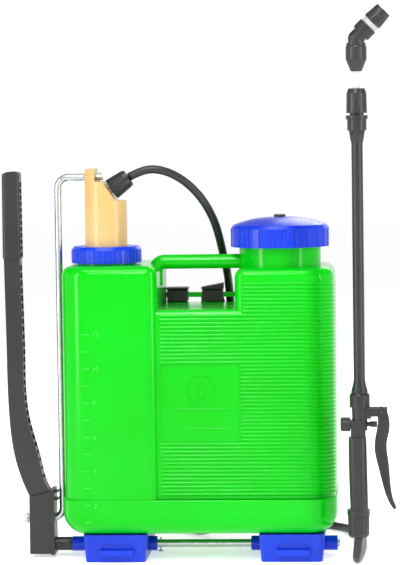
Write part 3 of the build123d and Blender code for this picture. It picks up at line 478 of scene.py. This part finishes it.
def stitches(name, line, widths, thick, rows, start, end, pitch=0.0036, length=0.0024):
    """Short raised thread stitches in rows along a piece of webbing."""
    along, lengths = tangents(line), run_lengths(line)
    verts, faces = [], []

    def at(distance):
        for i in range(len(line) - 1):
            if lengths[i + 1] >= distance:
                t = (distance - lengths[i]) / max(1e-9, lengths[i + 1] - lengths[i])
                across = (widths[i] - along[i] * widths[i].dot(along[i])).normalized()
                return line[i].lerp(line[i + 1], t), along[i], across
        across = (widths[-1] - along[-1] * widths[-1].dot(along[-1])).normalized()
        return line[-1], along[-1], across

    def thread(a, b, out):
        way = (b - a).normalized()
        over = way.cross(out).normalized()
        base = len(verts)
        for s, lift, fat in STITCH_FORM:
            centre = a.lerp(b, s) + out * lift
            for k in range(6):
                t = 2 * math.pi * k / 6
                verts.append(centre + (over * math.cos(t) + out * math.sin(t)) * 0.00035 * fat)
        for i in range(4):
            for k in range(6):
                n = (k + 1) % 6
                faces.append((base + i * 6 + k, base + i * 6 + n, base + (i + 1) * 6 + n, base + (i + 1) * 6 + k))

    for offset in rows:
        distance = start
        while distance + length < end:
            (p, a, c), (q, _a, d) = at(distance), at(distance + length)
            out = c.cross(a)
            thread(p + c * offset + out * thick / 2, q + d * offset + out * thick / 2, out)
            distance += pitch
    for distance in (start, end):
        offset = min(rows)
        p, a, c = at(distance)
        out = c.cross(a)
        while offset + length < max(rows) + 0.0001:
            thread(p + c * offset + out * thick / 2, p + c * (offset + length) + out * thick / 2, out)
            offset += pitch
    return new_object(name, verts, faces)


def strap(side, x, lean, eye_x, node):
    slope = math.radians(lean)
    profile = [(77.95, 3.4), (79.6, -9), (92, -31), (106, -80), (111, -140), (107, -195), (98, -240)]
    points = [Vector((x - z * math.sin(slope), y + 1.05, 305 + z * math.cos(slope))) / 1000 for y, z in profile]
    ends = [(96.2, 58.0), (94.6, 50.5), (90.4, 45.0), (87.6, 39.5), (90.4, 34.0), (94.8, 29.0), (96.0, 20.0),
            (96.4, 9.0)]
    points += [Vector((eye_x, y, z)) / 1000 for y, z in ends]
    line = smooth_line(points, 12)
    leaning, level = Vector((math.cos(slope), 0, math.sin(slope))), Vector((1, 0, 0))
    widths = [leaning.lerp(level, min(1.0, max(0.0, (0.120 - p.z) / 0.055))).normalized() for p in line]
    made = ribbon(side + "_strap_webbing", line, widths, 0.0021, 0.025)
    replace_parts(dress(made, "webbing", "tank"), node)
    lengths = run_lengths(line)
    lap_line, lap_widths = [], []
    for p, w, a, s in zip(line, widths, tangents(line), lengths):
        if 0.0005 <= s <= 0.046:
            lap_line.append(p + w.cross(a) * 0.0021)
            lap_widths.append(w)
    dress(ribbon(side + "_strap_lap", lap_line, lap_widths, 0.0019, 0.0246), "webbing", "tank")
    rows = (-0.009, -0.003, 0.003, 0.009)
    dress(stitches(side + "_strap_stitches", lap_line, lap_widths, 0.0019, rows, 0.016, 0.042), "webbing", "tank",
          thread_cotton)


thread_cotton = moulded("stitch_thread", (0.10, 0.10, 0.105), (0.16, 0.16, 0.165), 0.6, 1500.0, 0.0002)
strap("left", -32.5, -15.0, -101.0, "left_shoulder_strap")
strap("right", 10.5, 16.5, 86.0, "right_shoulder_strap")


# ---- floor, light and air -------------------------------------------------------------------------
def bowl(radius, rise, rings=48, around=96):
    profile = [(0.0, 0.0)] + [(radius * k / 12, 0.0) for k in range(1, 13)]
    for k in range(1, rings + 1):
        t = math.pi / 2 * k / rings
        profile.append((radius + rise * math.sin(t), rise * (1 - math.cos(t))))
    verts, faces = [], []
    for r, z in profile[1:]:
        for k in range(around):
            t = 2 * math.pi * k / around
            verts.append((r * math.cos(t), r * math.sin(t), z))
    for i in range(len(profile) - 2):
        for k in range(around):
            n = (k + 1) % around
            faces.append((i * around + k, (i + 1) * around + k, (i + 1) * around + n, i * around + n))
    faces.append(tuple(range(around)))
    return new_object("studio_floor", verts, faces)


floor = bowl(14.0, 5.0)
pale, tree, shader = begin("studio_paper")
place = add(tree, "ShaderNodeTexCoord").outputs["Object"]
fleck = add(tree, "ShaderNodeTexNoise", {"Vector": place, "Scale": 3.0, "Detail": 4.0}).outputs["Fac"]
tree.links.new(mixed(tree, fleck, (0.93, 0.93, 0.93), (0.96, 0.96, 0.96)), shader.inputs["Base Color"])
shader.inputs["Roughness"].default_value = 0.9
shader.inputs["Specular IOR Level"].default_value = 0.1
shader.inputs["Emission Color"].default_value = (1.0, 1.0, 1.0, 1.0)
shader.inputs["Emission Strength"].default_value = 0.52
floor.data.materials.append(pale)

world = bpy.data.worlds.new("studio_air")
world.use_nodes = True
world.node_tree.nodes["Background"].inputs["Color"].default_value = (1.0, 1.0, 1.0, 1.0)
world.node_tree.nodes["Background"].inputs["Strength"].default_value = 0.40
scene.world = world


def softbox(name, place, target, width, height, power):
    data = bpy.data.lights.new(name, "AREA")
    data.shape = "RECTANGLE"
    data.size, data.size_y = width, height
    data.energy = power
    lamp = bpy.data.objects.new(name, data)
    scene.collection.objects.link(lamp)
    aim = Vector(target) - Vector(place)
    lamp.matrix_world = Matrix.Translation(place) @ aim.to_track_quat("-Z", "Y").to_matrix().to_4x4()
    lamp.visible_camera = False
    return lamp


softbox("softbox_left", (-1.75, -1.35, 0.85), (0.0, 0.0, 0.3), 0.40, 1.7, 24.0)
softbox("softbox_right", (1.8, -1.0, 0.85), (0.05, 0.0, 0.3), 0.30, 1.7, 22.0)
softbox("softbox_rib", (-0.16, -1.6, 1.7), (0.0, 0.0, 0.25), 0.14, 0.7, 16.0)
softbox("softbox_top", (-0.2, -0.9, 2.4), (0.0, 0.0, 0.3), 1.4, 1.0, 26.0)
softbox("softbox_back", (0.6, 2.2, 1.6), (0.0, 0.0, 0.3), 1.2, 1.2, 16.0)
scene.view_settings.view_transform = "Standard"
